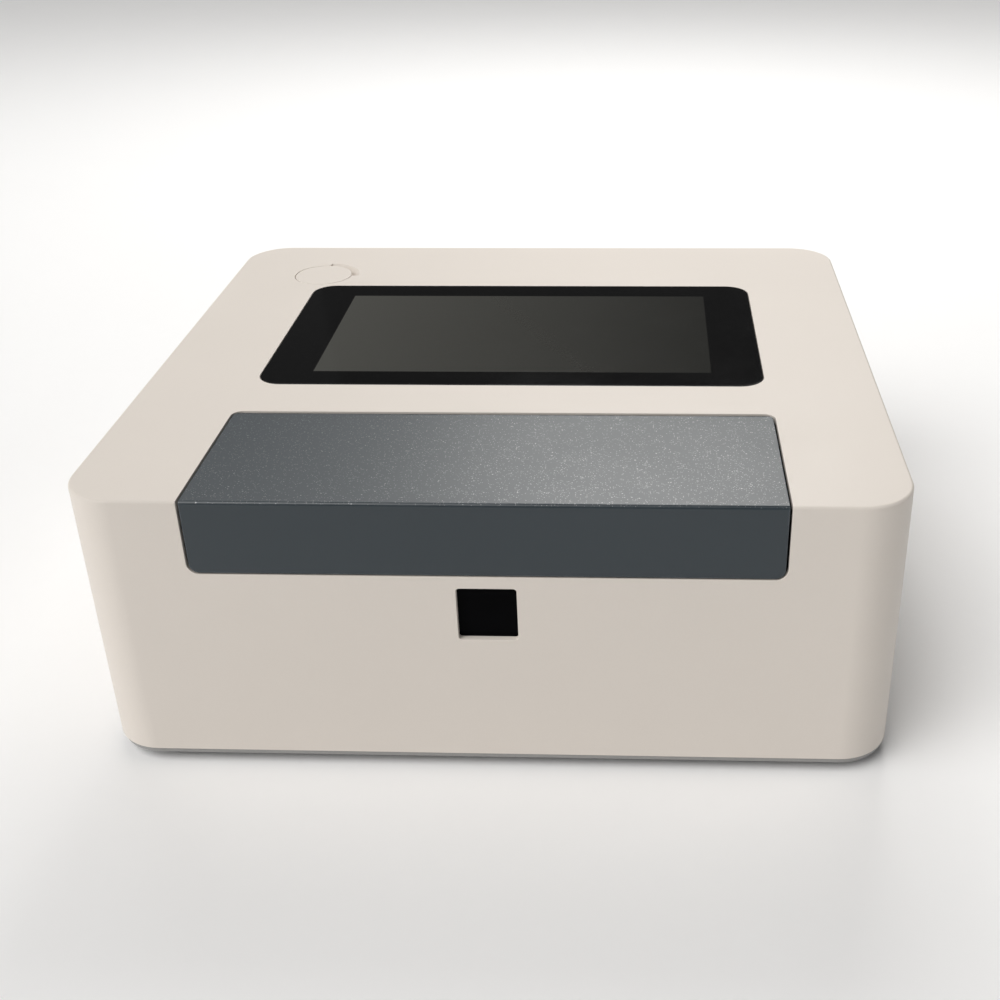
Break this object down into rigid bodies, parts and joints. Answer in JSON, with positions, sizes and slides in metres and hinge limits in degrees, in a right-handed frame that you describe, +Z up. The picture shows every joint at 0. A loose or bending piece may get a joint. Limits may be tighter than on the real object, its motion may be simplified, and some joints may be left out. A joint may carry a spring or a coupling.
{
  "type": "spectrophotometer",
  "caption": "Benchtop spectrophotometer with a flush touch display, a flip lid over a motor-driven cuvette carriage, and a round tube well under a flush cap.",
  "frame": {"origin": "middle of the footprint, on the surface that the rubber feet stand on", "axes": "+X to the right across the width, +Y to the rear, +Z up; the lid and the scanner window face -Y"},
  "size_m": [0.277, 0.26, 0.106],
  "materials": {
    "cover_white": "warm off-white satin paint with a very fine texture",
    "lid_slate": "slate blue-grey metallic texture paint with fine sparkle",
    "cover_glass": "black printed cover glass, polished",
    "window_black": "dark tinted scanner window, polished",
    "black_plastic": "matt black light-absorbing moulding",
    "grey_steel": "grey powder coat",
    "rubber": "matt black rubber",
    "foam": "open-cell black foam",
    "steel": "bright zinc-plated or ground steel",
    "chrome": "nickel plate",
    "brass": "turned brass",
    "aluminium": "bead-blasted anodised aluminium",
    "black_aluminium": "black anodised aluminium",
    "optic_glass": "clear optical glass",
    "mirror": "front-surface aluminium mirror",
    "filter_glass": "coloured filter glass",
    "board": "green circuit board with solder mask",
    "chips": "black moulded chip bodies",
    "display": "display panel in a thin metal frame",
    "ribbon": "white flat cable"
  },
  "bodies": {
    "base": {"housing": "cover_white", "base_plate": "grey_steel", "foot_front_left": "rubber", "foot_front_right": "rubber", "foot_rear_left": "rubber", "foot_rear_right": "rubber", "foot_screws": "steel", "cover_screws": "steel", "inner_screws": "steel", "lid_seal": "foam", "catch_plates": "steel", "cover_glass": "cover_glass", "lcd_panel": "display", "display_frame": "steel", "display_board": "board", "display_ribbon": "ribbon", "scan_window": "window_black", "scan_engine": "black_plastic", "sample_tub": "black_plastic", "guide_rods": "steel", "carriage_motor": "black_aluminium", "detector_board": "board", "optics_base": "aluminium", "optics_cover": "black_aluminium", "lamp_block": "aluminium", "lamp": "optic_glass", "lenses": "optic_glass", "small_motors": "steel", "slit_plates": "black_plastic", "concave_mirrors": "mirror", "vial_well": "black_plastic", "vial_sensors": "board", "rear_panel": "grey_steel", "mainboard": "board", "board_parts": "chips", "board_standoffs": "brass", "usb_sockets": "chrome", "network_socket": "chrome", "power_socket": "black_plastic", "power_switch": "black_plastic", "fan_frame": "black_plastic", "driver_board": "board"},
    "lid": {"lid": "lid_slate", "lid_liner": "black_plastic", "hinge_pins": "steel", "lid_magnets": "chrome"},
    "tube_cap": {"tube_cap": "cover_white", "cap_seal": "foam"},
    "carriage": {"cell_carriage": "black_aluminium", "carriage_bushes": "brass", "cell_springs": "steel", "lead_nut": "brass"},
    "lead_screw": {"lead_screw": "steel"},
    "grating_turret": {"grating_table": "aluminium", "grating": "mirror"},
    "filter_wheel": {"filter_wheel": "black_aluminium", "filters": "filter_glass"},
    "power_rocker": {"power_rocker": "black_plastic"},
    "fan_rotor": {"fan_rotor": "black_plastic"}
  },
  "joints": [
    {"name": "lid_hinge", "type": "hinge", "parent": "base", "child": "lid", "pos_m": [0, -0.07775, 0.1008], "axis": [-1, 0, 0], "range_deg": [0, 110]},
    {"name": "cap_lift", "type": "slide", "parent": "base", "child": "tube_cap", "axis": [0, 0, 1], "range_m": [0, 0.1]},
    {"name": "carriage_slide", "type": "slide", "parent": "base", "child": "carriage", "axis": [1, 0, 0], "range_m": [0, 0.075]},
    {"name": "lead_screw_turn", "type": "hinge", "parent": "base", "child": "lead_screw", "pos_m": [0, -0.089, 0.035], "axis": [1, 0, 0], "range_deg": [-3380, 0]},
    {"name": "grating_turn", "type": "hinge", "parent": "base", "child": "grating_turret", "pos_m": [-0.03, -0.015, 0.06], "axis": [0, 0, 1], "range_deg": [-10, 35]},
    {"name": "filter_wheel_turn", "type": "hinge", "parent": "base", "child": "filter_wheel", "pos_m": [-0.076, 0.035, 0.067], "axis": [1, 0, 0], "continuous": true},
    {"name": "rocker_tilt", "type": "hinge", "parent": "base", "child": "power_rocker", "pos_m": [0.042, 0.1215, 0.046], "axis": [0, 0, 1], "range_deg": [0, 16]},
    {"name": "fan_spin", "type": "hinge", "parent": "base", "child": "fan_rotor", "pos_m": [0.085, 0.1165, 0.043], "axis": [0, 1, 0], "continuous": true}
  ],
  "couplings": [
    {"joint": "lead_screw_turn", "follows": "carriage_slide", "rad_per_m": -785.4}
  ]
}
